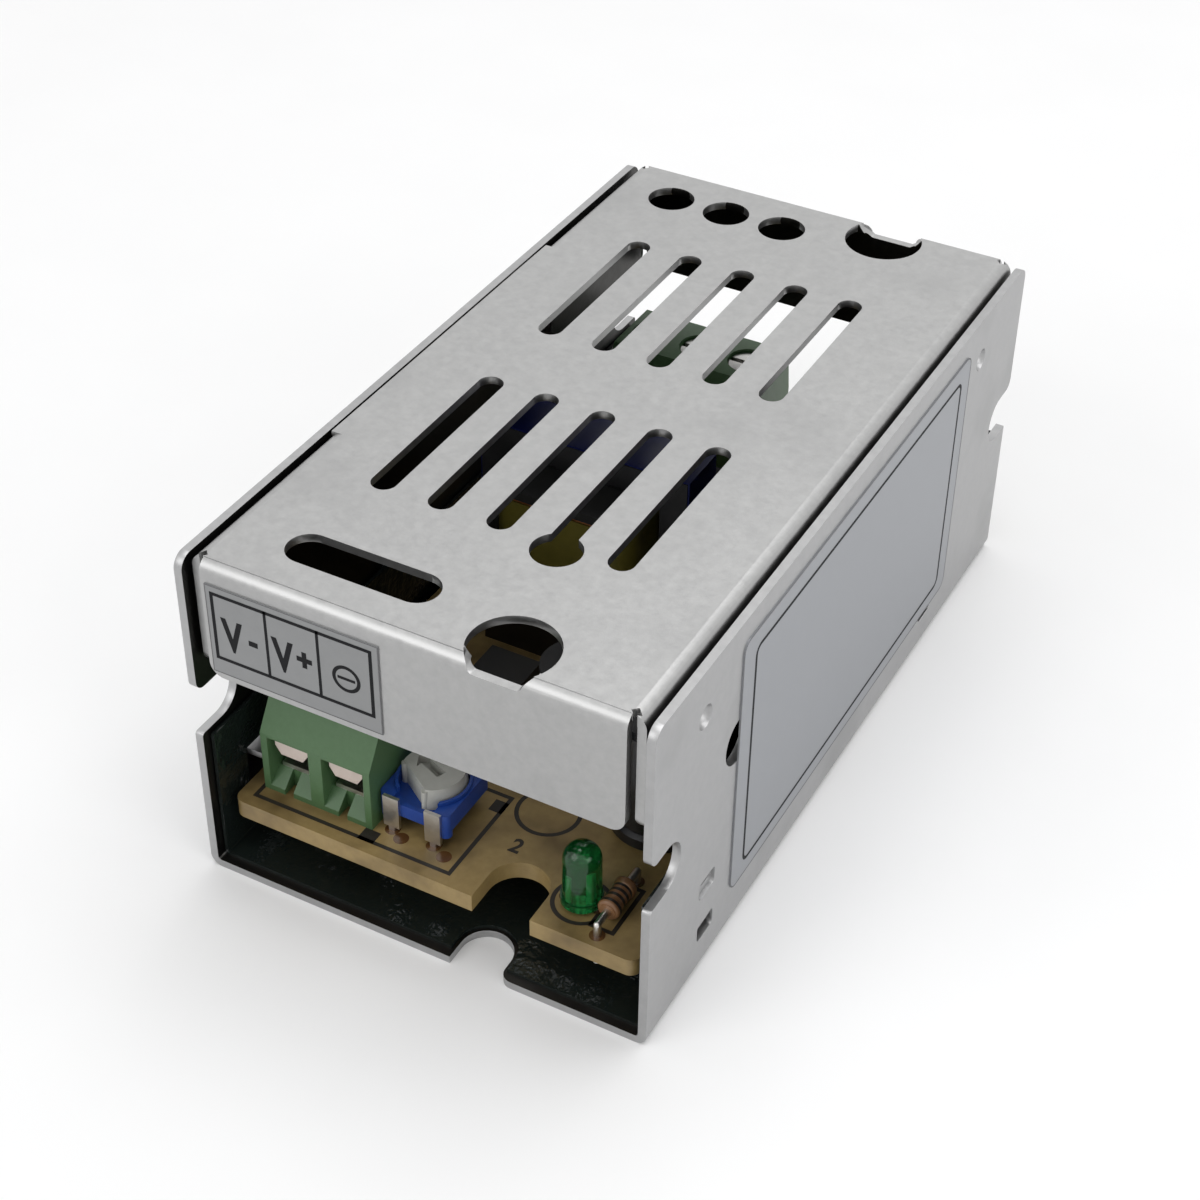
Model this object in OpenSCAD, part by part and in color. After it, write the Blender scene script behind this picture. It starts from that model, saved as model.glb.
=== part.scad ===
// Open-frame switching power supply in a small perforated aluminium case.
// Millimetres. X is right seen from the output end, the output end faces -Y, Z is up.
// The origin is at the centre of the case's underside.

/* [Case] */
// Outside length of the case, output end to input end
case_length = 70; // [66:1:90]
// Outside width over the two side walls
case_width = 39; // [38:0.5:50]
// Height to the top of the cover
case_height = 31; // [29:0.5:40]
// Thickness of the aluminium sheet of the base and the cover
sheet = 0.7; // [0.6:0.1:1]
// Outer radius of the two long bends of the base
base_bend = 1; // [0.9:0.1:2.5]
// How far the side walls stop below the top of the cover
wall_drop = 0.4; // [0:0.1:1.5]
// Radius of the upper corners of the side walls
wall_corner = 1.2; // [0.5:0.1:3]

/* [Wall features] */
// Height of the open notch at both ends of each side wall
notch_height = 4.2; // [3:0.1:5]
// Depth of that notch from the end of the wall
notch_depth = 4.6; // [3:0.1:6]
// Height of the middle of that notch above the underside
notch_z = 16; // [14:0.5:17]
// Width of the open slot in the floor at both ends
floor_slot_width = 4.3; // [3:0.1:5]
// Depth of the floor slot from the end of the floor
floor_slot_depth = 3.95; // [3:0.05:6]
// Distance of the floor slots from the middle of the case
floor_slot_x = 4.8; // [2:0.1:8]
// Radius of the round hole in each side wall
wall_hole_r = 2; // [1:0.1:2.5]
// Radius of the snap dimples pressed into the side walls
dimple_r = 1; // [0.7:0.05:1.2]
// Depth of the snap dimples below the top of the cover
dimple_drop = 4.7; // [4:0.1:7]
// Length of the pressed lances that hold the circuit board
lance_length = 2.6; // [2:0.1:4]
// Height of those lances
lance_height = 0.8; // [0.6:0.1:1.2]
// How far the lances reach in from the wall
lance_reach = 1.5; // [1.3:0.1:2]
// Gap between the board and the lance above it
lance_gap = 1.2; // [0.3:0.1:2]

/* [Cover] */
// Gap between each cover flange and the side wall
cover_gap = 0.4; // [0.2:0.05:0.8]
// Outer radius of the bends of the cover
cover_bend = 1.2; // [1.1:0.1:2.5]
// Depth of the front and rear flaps and side flanges, from the top
flap_depth = 10.5; // [8:0.5:11]
// How far the face of each flap stands in from the end of the case
flap_inset = 0.1; // [0.1:0.05:0.5]
// Gap between a flap and the side flange beside it
flap_side_gap = 0.4; // [0.2:0.05:0.8]
// Radius of the lower corners of the flaps and flanges
flap_corner = 1.2; // [0.5:0.1:3]
// Length of the two flanges on the left of the cover; the one on the right runs all along
flange_length = 18.4; // [12:0.1:22]
// Width of the relief cut at the end of each flange
relief = 0.8; // [0.5:0.1:1.5]

/* [Ventilation] */
// Width of the long slots
slot_width = 2.1; // [1.5:0.1:3]
// Length of the long slots
slot_length = 17.5; // [10:0.5:20]
// Distance between neighbouring slots
slot_pitch = 5.03; // [4:0.01:6]
// Number of slots in each row
slot_count = 5; // [3:1:6]
// Distance of the middle of the rows from the middle of the case
slot_row_x = -1; // [-3:0.5:3]
// Distance of each row's near end from the middle of the case
slot_row_y = 3.8; // [2:0.1:6]
// Radius of the keyhole at the end of one front slot
keyhole_r = 2; // [1.5:0.1:2.4]
// Radius of the three round holes at the rear
round_hole_r = 2.1; // [1:0.1:2.5]
// Distance between the round holes
round_hole_pitch = 5.5; // [5.2:0.1:6.5]
// Length of the oblong hole over the output terminals
oblong_length = 12.7; // [8:0.1:14]
// Width of the oblong hole
oblong_width = 3.5; // [2:0.1:4.5]
// Radius of the large hole that opens through each end bend
end_hole_r = 3.4; // [2:0.1:4]

/* [Circuit board] */
// Thickness of the circuit board
board_thickness = 1.6; // [1:0.1:2]
// Height of the underside of the board above the underside of the case
board_z = 5; // [4:0.1:5.5]
// Gap between the board and each side wall
board_side_gap = 1; // [0.5:0.1:1.1]
// How far the board stops inside each end of the case
board_end_gap = 1.4; // [0.8:0.1:2]
// Radius of the clearance notch in the front edge of the board
board_notch_r = 2.5; // [1.5:0.1:3]
// Thickness of the black insulating sheet
film = 0.3; // [0.1:0.05:0.5]
// Height of the sides of the insulating sheet
film_height = 13.4; // [11:0.1:13.5]
// Radial clearance of the leads in the holes of the board
lead_clearance = 0.1; // [0.05:0.05:0.2]
// How far the leads stand out below the board
lead_tail = 1.1; // [0.8:0.1:2]
// Radius of the plain component leads
lead_r = 0.3; // [0.25:0.05:0.4]

/* [Terminal blocks] */
// Distance between neighbouring ways
pitch = 5; // [5:0.08:5.08]
// Width of each wire entry
entry_width = 3.8; // [3.4:0.1:4]
// Height of the terminal blocks
block_height = 10; // [9.6:0.1:12]
// Depth of the terminal blocks, wire side to back
block_depth = 8; // [7.6:0.1:9]
// Height of the lip over the wire entries
lip_height = 5.7; // [5.6:0.1:6.6]
// How far the top edge of the output block slopes back over the entries
output_slope = 2.6; // [0.4:0.1:3]
// How far the top edge of the input block slopes back
input_slope = 0.6; // [0.4:0.1:3]
// Distance of the output wire entries from the end of the case
output_face_inset = 3.7; // [2:0.1:4]
// Distance of the input wire entries from the end of the case
input_face_inset = 1.7; // [1.5:0.1:4]
// Gap between the left end of the blocks and the side wall's inner face
block_side_gap = 2.45; // [1.6:0.05:2.6]
// Radius of the clamping screws' shanks
screw_r = 1.25; // [1:0.05:1.3]
// Radius of the clamping screws' heads
screw_head_r = 1.9; // [1.6:0.05:2]
// How far a clamping screw can travel down
clamp_travel = 1.4; // [0.5:0.1:1.4]

/* [Trimmer] */
// Side of the trimmer's square base
trimmer_size = 6.2; // [5.9:0.1:6.3]
// Radius of the trimmer's dial
dial_r = 2.7; // [2.3:0.1:2.8]
// Clearance round the dial
dial_clearance = 0.05; // [0.03:0.01:0.1]
// Distance between the two front lugs
lug_pitch = 3.7; // [3:0.1:4]

/* [Transformer] */
// Length of the ferrite core across the case
core_length = 19; // [16:0.5:19]
// Height of the whole ferrite core
core_height = 16.2; // [14:0.1:17]
// Depth of the ferrite core
core_depth = 5; // [4:0.1:6]

/* [Capacitors] */
// Diameter of the input capacitor
bulk_d = 10; // [8:0.5:10]
// Height of the input capacitor
bulk_height = 16; // [12:0.5:20]
// Diameter of the output capacitors
output_cap_d = 8; // [6:0.5:8]
// Height of the output capacitors
output_cap_height = 11.5; // [8:0.5:16]

/* [Labels] */
// Length of the foil on the right-hand side wall
rating_length = 43.9; // [20:0.1:44]
// Height of that foil
rating_height = 24.5; // [10:0.1:25]
// Thickness of the foil labels
label_thickness = 0.1; // [0.05:0.01:0.1]

/* [Hidden] */
$fn = 48;
cut = 0.05; // how far a cutting body passes the face that it cuts

half_length = case_length / 2;
half_width = case_width / 2;
wall_inner = half_width - sheet;
wall_top = case_height - wall_drop;
cover_half = wall_inner - cover_gap;
cover_inner = cover_half - sheet;
cover_under = case_height - sheet;
flap_half = cover_inner - flap_side_gap;
flap_face = half_length - flap_inset;
flap_bottom = case_height - flap_depth;
flange_end = flap_face - sheet;
flange_start = flange_end - flange_length;
dimple_z = case_height - dimple_drop;
film_gap = 0.1;          // gap between the insulating sheet and the walls
film_half = wall_inner - film_gap;
film_fold = base_bend - sheet + film_gap;
film_inset = 0.8;        // how far the sheet stops inside each end
film_margin = 0.6;       // how far its windows clear the lances
solder_height = 0.7;
oblong_x = -6.65;
oblong_inset = 5.15;
oblong_y = -half_length + oblong_inset;
end_hole_x = 7.1;
end_hole_inset = 2.8;
end_hole_chord = 1.8;    // half the width of the end hole where it meets the flap
bend_start = flap_inset + cover_bend - end_hole_inset;
front_dimple = 7.6;
rear_dimple = 9.8;
dimple_ys = [-half_length + front_dimple, half_length - rear_dimple];
dimple_cap = 0.85;       // how deep a dimple is pressed
dimple_fit = 0.2;        // how much wider its inner side is
dimple_play = 0.1;
front_lances = [6.3, 9.3];   // from the output end, left and right
rear_lances = 17;
left_lance_ys = [-half_length + front_lances[0], half_length - rear_lances];
right_lance_ys = [-half_length + front_lances[1], half_length - rear_lances];
corner_relief = 0.6;     // side of the relief hole at each corner of the cover
relief_inset = 0.95;
flat_margin = 0.15;      // how far the flat left edge of the cover stops inside its flanges
round_hole_inset = 5.4;
round_hole_shift = 0.6;
keyhole_shift = 0.25;
slot_mouth = 1;          // radius of the outer corner of each floor slot
notch_lip = 0.3;         // radius of the lower corner of each wall notch
lance_corner = 0.35;
lance_dent = 0.4 * sheet;
wall_hole_rise = 3.6;

board_top = board_z + board_thickness;
board_half = wall_inner - board_side_gap;
board_end = half_length - board_end_gap;
board_notch_x = 0.36 * board_half;
board_corner = 0.9;
notch_mouth = 0.9;      // radius of the upper corner of each notch's mouth
lance_zs = [board_z - lance_height / 2, board_top + lance_gap + lance_height / 2];

// Terminal blocks, in each block's own frame: x across the ways, y inwards from the wire side,
// z up from the board.
ramp_front = 0.5;      // height of the entry floor at the wire side
ramp_back = 1.7;       // height of the floor under the contact frame
ramp_length = 1.3;
entry_top = lip_height - 0.25;
frame_thickness = 0.4;
frame_width = 3.2;
frame_back = block_depth - 1.6;
frame_front = 2.3;
nut_thickness = 0.8;
nut_under = entry_top - 0.05;
nut_top = nut_under + nut_thickness;
screw_y = 4;
leaf_top = nut_under - 0.1;
leaf_thickness = 0.4;
leaf_width = 3;
leaf_tip_width = 2;
leaf_drop = 1.6;
leaf_front = 0.5;
leaf_back = frame_back - frame_thickness - 0.3;
screw_clearance = 0.05;
head_height = 1.3;
head_top = block_height - 0.3;
pin_r = 0.45;
pin_y = 5.2;
output_x = -wall_inner + block_side_gap + pitch / 2;  // middle of the first output way
output_face = -half_length + output_face_inset;
input_face = half_length - input_face_inset;
output_ways = 2;
input_ways = 3;

trimmer_gap = 0.05;
trimmer_inset = 1;
trimmer_x = output_x + (output_ways - 0.5) * pitch + trimmer_gap + trimmer_size / 2;
trimmer_y = output_face + trimmer_inset + trimmer_size / 2;
trimmer_stand = 1.6;
trimmer_z = board_top + trimmer_stand;   // underside of the trimmer's base
trimmer_height = 1.7;
dial_floor = 0.9;
dial_seat = trimmer_z + dial_floor;
dial_rise = 1.3;
dial_top = trimmer_z + trimmer_height + dial_rise;
dial_height = dial_top - dial_seat;
dial_draft = 0.2;         // how much narrower the dial is at its top
dial_flat = 1.6;          // distance of the dial's flat from its axis
dial_flat_turn = 146.5;
dial_stop_r = 0.28;
dial_stop_x = sqrt(pow(dial_r - dial_stop_r, 2) - dial_flat * dial_flat);
dial_slot = 2;            // length of the shaft of its arrow-shaped recess
dial_slot_width = 0.8;
dial_slot_depth = 0.8;
dial_slot_turn = -21;
dial_arrow = 0.9;
trimmer_corner = 0.5;
trimmer_rim = 0.35;
trimmer_rim_width = 0.25;
trimmer_foot_r = 0.5;
trimmer_foot = 0.6;
trimmer_dip = 3.6;        // length of the low part of its front edge
trimmer_dip_depth = 0.5;
lug_width = 1.4;
lug_thickness = 0.3;
lug_pin_width = 0.6;

led_x = 0.64 * board_half;
led_inset = 4.9;
led_y = -half_length + led_inset;
led_r = 1.5;
led_flange_r = 1.65;
led_flange = 0.6;
led_height = 5.6;
led_lead_pitch = 2.54;
led_standoff = 0.4;
led_resistor_r = 0.8;
led_resistor_gap = 0.15;
led_resistor_x = led_x + led_flange_r + led_resistor_gap + led_resistor_r;
led_resistor_inset = 5.6;
led_resistor_y = -half_length + led_resistor_inset;
led_resistor_length = 3.2;
led_resistor_span = 6.2;

transformer_x = -4;
transformer_y = 0;
core_stand = 2.6;
core_z = board_top + core_stand;
core_back = 2.4;               // thickness of the core's backs and outer legs
core_centre = 4.8;             // width of the centre leg
window = (core_length - core_centre) / 2 - core_back;
core_gap = 0.05;               // air gap between the two halves of the core
half_height = (core_height - core_gap) / 2;
bobbin_wall = 0.7;
bobbin_fit = 0.1;
bobbin_flange = 0.8;
bobbin_side = 0.2;
bobbin_half_x = core_length / 2 - core_back - bobbin_side;
bobbin_half_y = 6.9;
winding_inset = 0.55;
winding_half_x = bobbin_half_x - winding_inset;
winding_half_y = bobbin_half_y - winding_inset;
winding_corner = 2;
tape_thickness = 0.15;
rail_depth = 2.2;
winding_low = core_z + core_back + bobbin_fit + bobbin_flange;
winding_high = core_z + core_height - core_back - bobbin_fit - bobbin_flange;
transformer_pin_pitch = 3.4;
transformer_pin_count = 4;
transformer_pin_r = 0.35;
transformer_pin_y = bobbin_half_y - rail_depth / 2;

bulk_inset = 5.6;
bulk_x = board_half - bulk_inset;
bulk_y = 13;
output_cap_inset = 5.4;
output_cap_x = board_half - output_cap_inset;
output_cap_ys = [-19.5, -10];
small_lead_pitch = 3.5;
bulk_lead_pitch = 5;

fuse_side = 4.8;
fuse_x = board_half - fuse_side;
fuse_inset = 9.5;
fuse_y = half_length - fuse_inset;
fuse_r = 1.6;
fuse_length = 6.5;
fuse_span = 10;
diode_r = 1.35;
diode_length = 5.2;
diode_span = 10;
diode_pitch = 3;
diode_inset = 2.2;
diode_xs = [for (i = [0 : 3]) -board_half + diode_inset + i * diode_pitch];
diode_y = 15.5;
output_diode_r = 2.2;
output_diode_length = 6.5;
output_diode_span = 11;
output_diode_inset = 5.8;
output_diode_x = -board_half + output_diode_inset;
output_diode_y = -15.5;
axial_lift = 0.3;

disc_x = (transformer_x + core_length / 2 + film_half - film) / 2;
disc_y = 1.6;
disc_r = 4;
disc_thickness = 3.6;
disc_pitch = 5;
disc_lift = 1;

choke_x = 2.2;
choke_y = -14;
choke_r = 3.2;
choke_height = 7.5;
choke_flange = 1;
choke_core_r = 1.7;
choke_pitch = 3;

chip_x = (diode_xs[3] + diode_r + bulk_x - bulk_d / 2) / 2;
chip_y = 17.6;
chip_length = 7.2;
chip_legs_a_side = 3;
chip_width = 6.3;
chip_height = 3.3;
opto_x = -5;
opto_y = -14.5;
opto_length = 4.6;
opto_width = 6.4;
opto_height = 3.4;
chip_pitch = 2.54;
chip_lift = 0.5;
chip_row = 7.62;
leg_width = 0.5;
leg_thickness = 0.25;
leg_foot = 0.7;

rating_inset = 13.4;
rating_y0 = -half_length + rating_inset;
rating_z0 = 4;
rating_corner = 1;
terminal_label_length = 14.75;
terminal_label_height = 8.1;
terminal_label_side = 0.4;
terminal_label_rise = 0.6;
terminal_label_x0 = -flap_half + terminal_label_side;
terminal_label_z0 = flap_bottom + terminal_label_rise;

// Where every lead goes through the board: x, y and radius.
function axial_points(x, y, span, r) = [[x, y - span / 2, r], [x, y + span / 2, r]];
function row_points(x, y, count, spacing, r) =
    [for (i = [0 : count - 1]) [x + (i - (count - 1) / 2) * spacing, y, r]];
LEADS = concat(
    [for (i = [0 : output_ways - 1]) [output_x + i * pitch, output_face + pin_y, pin_r]],
    [for (i = [0 : input_ways - 1]) [output_x + i * pitch, input_face - pin_y, pin_r]],
    row_points(trimmer_x, trimmer_y - trimmer_size / 2 - lug_thickness / 2, 2, lug_pitch, lug_pin_width / 2),
    [[trimmer_x, trimmer_y + trimmer_size / 2 + lug_thickness / 2, lug_pin_width / 2]],
    row_points(led_x, led_y, 2, led_lead_pitch, lead_r),
    axial_points(led_resistor_x, led_resistor_y, led_resistor_span, lead_r),
    row_points(transformer_x, transformer_y - transformer_pin_y, transformer_pin_count,
               transformer_pin_pitch, transformer_pin_r),
    row_points(transformer_x, transformer_y + transformer_pin_y, transformer_pin_count,
               transformer_pin_pitch, transformer_pin_r),
    row_points(bulk_x, bulk_y, 2, bulk_lead_pitch, lead_r),
    [for (y = output_cap_ys) each row_points(output_cap_x, y, 2, small_lead_pitch, lead_r)],
    axial_points(fuse_x, fuse_y, fuse_span, lead_r),
    [for (x = diode_xs) each axial_points(x, diode_y, diode_span, lead_r)],
    axial_points(output_diode_x, output_diode_y, output_diode_span, lead_r),
    row_points(disc_x, disc_y, 2, disc_pitch, lead_r),
    row_points(choke_x, choke_y, 2, choke_pitch, lead_r)
);

// ---- Shared shapes ----

// Extrudes a (y, z) outline along X, from x0 to x1.
module along_x(x0, x1) {
    translate([x0, 0, 0]) rotate([90, 0, 90]) linear_extrude(x1 - x0) children();
}

// Extrudes an (x, z) outline along Y, from y0 to y1.
module along_y(y0, y1) {
    translate([0, y1, 0]) rotate([90, 0, 0]) linear_extrude(y1 - y0) children();
}

// Extrudes an (x, y) outline upwards, from z0 to z1.
module upwards(z0, z1) {
    translate([0, 0, z0]) linear_extrude(z1 - z0) children();
}

// A rectangle with round corners, from (x0, y0) to (x1, y1).
module rounded(x0, y0, x1, y1, r) {
    translate([x0 + r, y0]) square([x1 - x0 - 2 * r, y1 - y0]);
    translate([x0, y0 + r]) square([x1 - x0, y1 - y0 - 2 * r]);
    for (x = [x0 + r, x1 - r], y = [y0 + r, y1 - r]) translate([x, y]) circle(r);
}

// What is cut away to round a corner at the origin, whose piece lies towards +x and +y.
module corner_waste(r) {
    difference() {
        translate([-cut, -cut]) square(r + cut);
        translate([r, r]) circle(r);
    }
}

// A sheet bent into a U: flat below, open above.
module channel(width, height, bend) {
    intersection() {
        difference() {
            rounded(-width / 2, 0, width / 2, height + 2 * bend, bend);
            rounded(-width / 2 + sheet, sheet, width / 2 - sheet, height + 2 * bend + cut, bend - sheet);
        }
        translate([-width, 0]) square([2 * width, height]);
    }
}

// A slot that is open at y = 0 and has a round end at y = depth.
module open_slot(width, depth) {
    translate([-width / 2, -cut]) square([width, depth - width / 2 + cut]);
    translate([0, depth - width / 2]) circle(width / 2);
}

// A slot with two round ends, from y0 to y1.
module closed_slot(x, y0, y1, width) {
    rounded(x - width / 2, y0, x + width / 2, y1, width / 2 - 0.001);
}

module both_sides() {
    children();
    mirror([1, 0, 0]) children();
}

module both_ends() {
    children();
    mirror([0, 1, 0]) children();
}

// ---- Case ----

module folded_base() difference() {
    along_y(-half_length, half_length) channel(case_width, wall_top, base_bend);
    both_ends() {
        upwards(-cut, sheet + cut) translate([floor_slot_x, -half_length])
            open_slot(floor_slot_width, floor_slot_depth);
        upwards(-cut, sheet + cut) translate([floor_slot_x + floor_slot_width / 2, -half_length])
            corner_waste(slot_mouth);
        along_x(-half_width - cut, half_width + cut) {
            translate([-half_length, notch_z]) rotate(-90) open_slot(notch_height, notch_depth);
            translate([-half_length, notch_z + notch_height / 2]) corner_waste(notch_mouth);
            translate([-half_length, notch_z - notch_height / 2]) mirror([0, 1]) corner_waste(notch_lip);
            translate([-half_length, wall_top]) mirror([0, 1]) corner_waste(wall_corner);
        }
    }
    both_sides() translate([wall_inner - cut, rating_y0, notch_z + wall_hole_rise])
        rotate([0, 90, 0]) cylinder(r = wall_hole_r, h = sheet + 2 * cut);
    for (y = right_lance_ys) lance_hole(y);
    mirror([1, 0, 0]) for (y = left_lance_ys) lance_hole(y);
}

module base_channel() color("gainsboro") {
    difference() {
        union() {
            folded_base();
            both_sides() for (y = dimple_ys) difference() {
                dimple(wall_inner, y, dimple_r + dimple_fit);
                translate([wall_inner + sheet / 2, y - case_height, 0])
                    cube([case_width, 2 * case_height, case_height]);
            }
        }
        both_sides() for (y = dimple_ys) dimple(half_width, y, dimple_r);
    }
    for (y = right_lance_ys) lance(y);
    mirror([1, 0, 0]) for (y = left_lance_ys) lance(y);
}

// A cap pressed inwards from the plane x, as wide as 2 r where it leaves that plane.
module dimple(x, y, r) {
    ball = (r * r + dimple_cap * dimple_cap) / (2 * dimple_cap);
    translate([x + ball - dimple_cap, y, dimple_z]) sphere(ball);
}

// The outline of half a lance, above or below its middle.
module lance_half(y, side) {
    intersection() {
        rounded(y - lance_length / 2, -lance_height, y + lance_length / 2, lance_height, lance_corner);
        translate([y - lance_length / 2, side > 0 ? 0 : -lance_height]) square([lance_length, lance_height]);
    }
}

// Beside each tongue the wall is open on the side away from the board, and hollow behind the tongue.
module lance_hole(y) for (s = [-1, 1]) let (z = s > 0 ? lance_zs[1] : lance_zs[0]) {
    along_x(wall_inner - cut, half_width + cut) translate([0, z + s * lance_height / 2]) lance_half(y, s);
    along_x(half_width - lance_dent, half_width + cut) translate([0, z + s * lance_height / 2])
        lance_half(y, -s);
}

module lance(y) for (s = [-1, 1]) let (z = s > 0 ? lance_zs[1] : lance_zs[0])
    along_x(wall_inner - lance_reach, wall_inner + cut) translate([0, z + s * lance_height / 2])
        lance_half(y, -s);

// ---- Cover ----

// The top and the two long sides. The flange on the right runs from end to end; the one on the left
// is cut away between two relief cuts.
module cover_side_flanges() difference() {
    along_y(-flange_end, flange_end)
        translate([0, case_height]) mirror([0, 1]) channel(2 * cover_half, flap_depth, cover_bend);
    translate([-cover_half - cut, -flange_start - relief, flap_bottom - cut])
        cube([cover_bend + cut, 2 * (flange_start + relief), flap_depth + 2 * cut]);
    both_sides() both_ends() along_x(cover_inner - cut, cover_half + cut)
        translate([-flange_end, flap_bottom]) corner_waste(flap_corner);
    both_ends() along_x(-cover_half - cut, -cover_inner + cut)
        translate([-flange_start - relief, flap_bottom]) mirror([1, 0]) corner_waste(flap_corner);
}

module cover_end_flaps() difference() {
    along_x(-flap_half, flap_half)
        translate([0, case_height]) mirror([0, 1]) channel(2 * flap_face, flap_depth, cover_bend);
    both_sides() both_ends() along_y(-half_length, -flap_face + sheet + cut)
        translate([-flap_half, flap_bottom]) corner_waste(flap_corner);
}

// The large hole near each end: upright through the top, and round seen from the end as well where it
// runs through the bend.
module end_hole() translate([end_hole_x, -half_length + end_hole_inset, 0]) intersection() {
    upwards(cover_under - cover_bend, case_height + cut) circle(end_hole_r);
    union() {
        translate([-end_hole_r, bend_start, cover_under - cut])
            cube([2 * end_hole_r, 2 * end_hole_r, sheet + 2 * cut]);
        along_y(-end_hole_r, bend_start + cut) translate([0, case_height - cover_bend]) intersection() {
            translate([0, sqrt(end_hole_r * end_hole_r - end_hole_chord * end_hole_chord)])
                circle(end_hole_r);
            translate([-end_hole_r, 0]) square(2 * end_hole_r);
        }
    }
}

module top_cover() color("silver") difference() {
    union() {
        cover_side_flanges();
        translate([-cover_half + flat_margin, -flange_start - relief, cover_under])
            cube([cover_half, 2 * (flange_start + relief), sheet]);
        cover_end_flaps();
    }
    // the slit between each flap and the flange beside it ends in a small relief hole
    both_sides() both_ends() {
        translate([flap_half, -half_length - cut, flap_bottom - cut])
            cube([flap_side_gap, flap_inset + cover_bend + cut, flap_depth - cover_bend]);
        translate([flap_half + flap_side_gap / 2, -flap_face + relief_inset, flap_bottom]) rotate(45)
            translate([-corner_relief / 2, -corner_relief / 2, 0])
                cube([corner_relief, corner_relief, case_height]);
    }
    // holes that the snap dimples of the base click into
    both_sides() for (y = dimple_ys) translate([cover_inner - cut, y, dimple_z])
        rotate([0, 90, 0]) cylinder(r = dimple_r + dimple_fit + dimple_play, h = sheet + 2 * cut);
    upwards(cover_under - cut, case_height + cut) {
        for (i = [0 : slot_count - 1]) let (x = slot_row_x + (i - (slot_count - 1) / 2) * slot_pitch) {
            closed_slot(x, -slot_row_y - slot_length, -slot_row_y, slot_width);
            closed_slot(x, slot_row_y, slot_row_y + slot_length, slot_width);
        }
        translate([slot_row_x + slot_pitch + keyhole_shift, -slot_row_y - slot_length]) circle(keyhole_r);
        for (i = [0 : 2])
            translate([slot_row_x - round_hole_shift - i * round_hole_pitch, half_length - round_hole_inset])
                circle(round_hole_r);
        rounded(oblong_x - oblong_length / 2, oblong_y - oblong_width / 2,
                oblong_x + oblong_length / 2, oblong_y + oblong_width / 2, oblong_width / 2 - 0.001);
    }
    both_ends() end_hole();
}

module insulation_sheet() color("#15181a") difference() {
    along_y(-half_length + film_inset, half_length - film_inset) intersection() {
        difference() {
            rounded(-film_half, sheet, film_half, 2 * film_height, film_fold);
            rounded(-film_half + film, sheet + film, film_half - film, 2 * film_height, film_fold - film);
        }
        translate([-half_width, 0]) square([case_width, film_height]);
    }
    both_ends() upwards(0, 2 * sheet + film) translate([floor_slot_x, -half_length])
        open_slot(floor_slot_width + film_margin, floor_slot_depth + film_margin / 2);
    for (y = right_lance_ys) film_window(y);
    mirror([1, 0, 0]) for (y = left_lance_ys) film_window(y);
}

// One window of the sheet, round a pair of lances.
module film_window(y) translate([film_half - film - cut, y - lance_length / 2 - film_margin,
                                 lance_zs[0] - lance_height / 2 - film_margin])
    cube([film + 2 * cut, lance_length + 2 * film_margin,
          lance_zs[1] - lance_zs[0] + lance_height + 2 * film_margin]);

module circuit_board() color("#c9b27a") difference() {
    upwards(board_z, board_top)
        rounded(-board_half, -board_end, board_half, board_end, board_corner);
    both_ends() upwards(board_z - cut, board_top + cut) {
        translate([board_notch_x, -board_end]) open_slot(2 * board_notch_r, 2 * board_notch_r + cut);
    }
    for (p = LEADS) translate([p[0], p[1], board_z - cut])
        cylinder(r = p[2] + lead_clearance, h = board_thickness + 2 * cut, $fn = 24);
}

module solder_joints() color("lightgrey") for (p = LEADS) difference() {
    translate([p[0], p[1], board_z - solder_height])
        cylinder(r1 = p[2] + 0.12, r2 = p[2] + 0.55, h = solder_height, $fn = 24);
    translate([p[0], p[1], board_z - solder_height - cut])
        cylinder(r = p[2], h = solder_height + 2 * cut, $fn = 24);
}

// ---- Labels ----

module rating_label() color("#c9cdd1") along_x(half_width, half_width + label_thickness)
    rounded(rating_y0, rating_z0, rating_y0 + rating_length, rating_z0 + rating_height, rating_corner);

module terminal_label() color("#c9cdd1") along_y(-flap_face - label_thickness, -flap_face)
    translate([terminal_label_x0, terminal_label_z0]) square([terminal_label_length, terminal_label_height]);

// ---- Terminal blocks, each in its own frame ----

module block_body(ways, slope) difference() {
    along_x(-pitch / 2, (ways - 0.5) * pitch) polygon([
        [0, 0], [block_depth, 0], [block_depth, block_height - 1.5], [block_depth - 0.8, block_height],
        [slope, block_height], [0, lip_height]
    ]);
    for (i = [0 : ways - 1]) translate([i * pitch, 0, 0]) {
        // wire entry with a ramp, and the space of the contact frame behind it
        along_x(-entry_width / 2, entry_width / 2) polygon([
            [-cut, ramp_front], [0, ramp_front], [ramp_length, ramp_back], [frame_back + 0.2, ramp_back],
            [frame_back + 0.2, nut_top], [frame_front - 0.2, nut_top], [frame_front - 0.2, entry_top],
            [-cut, entry_top]
        ]);
        // slit in the ramp
        translate([-0.6, -cut, -cut]) cube([0.8, ramp_length + cut, ramp_back + cut]);
        translate([0, screw_y, nut_top - cut])
            cylinder(r = screw_head_r + 0.15, h = block_height - nut_top + 2 * cut);
        translate([0, pin_y, -cut]) cylinder(r = pin_r + 0.1, h = ramp_back + 2 * cut, $fn = 24);
    }
}

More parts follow.
